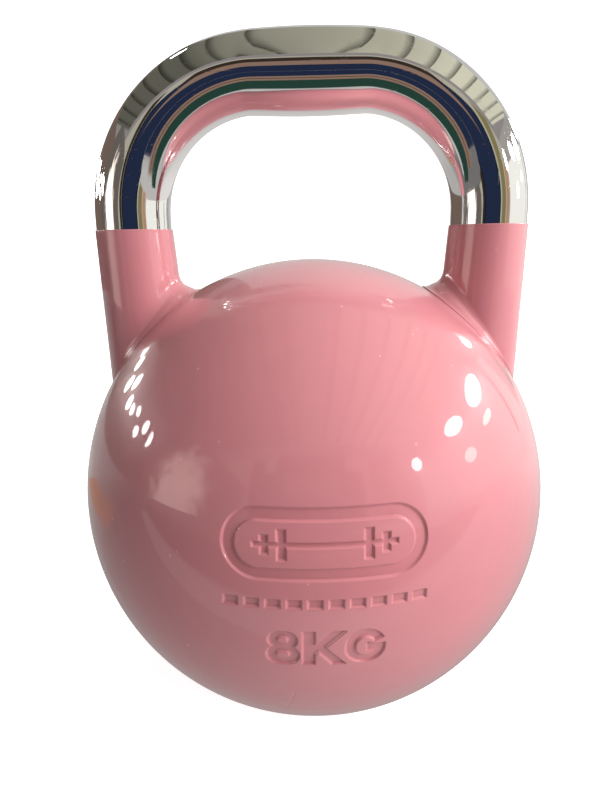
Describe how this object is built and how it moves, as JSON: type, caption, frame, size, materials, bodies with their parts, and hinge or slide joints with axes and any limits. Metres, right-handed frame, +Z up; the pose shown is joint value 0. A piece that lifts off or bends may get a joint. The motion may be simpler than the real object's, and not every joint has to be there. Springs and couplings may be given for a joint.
{
  "type": "competition kettlebell",
  "caption": "Kettlebell with a glossy painted steel ball on a flat foot, welded horns and a bent chromed handle bar",
  "frame": {"origin": "Centre of the flat foot, on the plane that the kettlebell stands on", "axes": "+Z up through the ball to the handle, +X along the handle's grip to the right as the marks are read, -Y the marked front"},
  "size_m": [0.21, 0.21, 0.28],
  "materials": {
    "paint": "gloss",
    "bar_chrome": "polished",
    "bare_steel": "satin",
    "seal_rubber": "matte",
    "set_mortar": "matte"
  },
  "bodies": {
    "root": {"upper_shell": "paint", "lower_shell": "paint", "backing_ring": "bare_steel", "equator_weld": "paint", "base_plate": "paint", "base_weld": "paint", "filler_plug": "bare_steel", "plug_washer": "seal_rubber", "ballast": "set_mortar", "left_horn": "paint", "right_horn": "paint", "left_horn_weld": "paint", "right_horn_weld": "paint", "handle_bar": "bar_chrome", "left_handle_weld": "paint", "right_handle_weld": "paint", "left_dowel": "bare_steel", "right_dowel": "bare_steel"}
  },
  "joints": []
}
